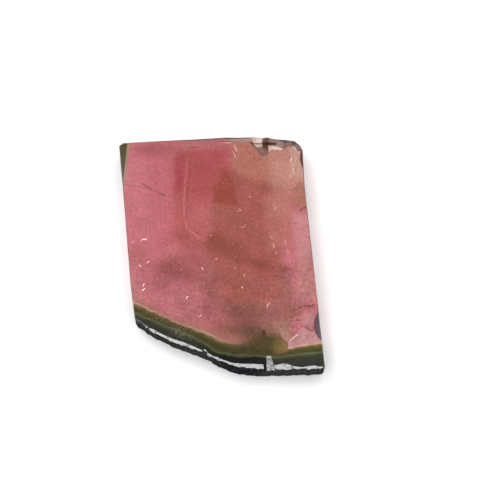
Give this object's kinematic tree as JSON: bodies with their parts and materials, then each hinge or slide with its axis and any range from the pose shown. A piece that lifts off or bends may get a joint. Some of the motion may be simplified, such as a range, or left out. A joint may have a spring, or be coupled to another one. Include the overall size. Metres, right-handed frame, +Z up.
{
  "type": "watermelon tourmaline slice",
  "caption": "A flat slice sawn across a tourmaline crystal: pink, see-through core, thin olive zone and black-green striated rind along one side, with chipped corners.",
  "frame": {"origin": "middle of the bounding box, on the polished back face that the slice lies on", "axes": "+Z up through the slice's thickness, +X towards its right side, +Y towards its sawn top edge; the dark rind is at -Y"},
  "size_m": [0.0171, 0.0198, 0.0032],
  "materials": {
    "tourmaline": "polished, translucent pink crystal with an olive zone and a glossy black-green rind"
  },
  "bodies": {
    "root": {"tourmaline_slice": "tourmaline"}
  },
  "joints": []
}
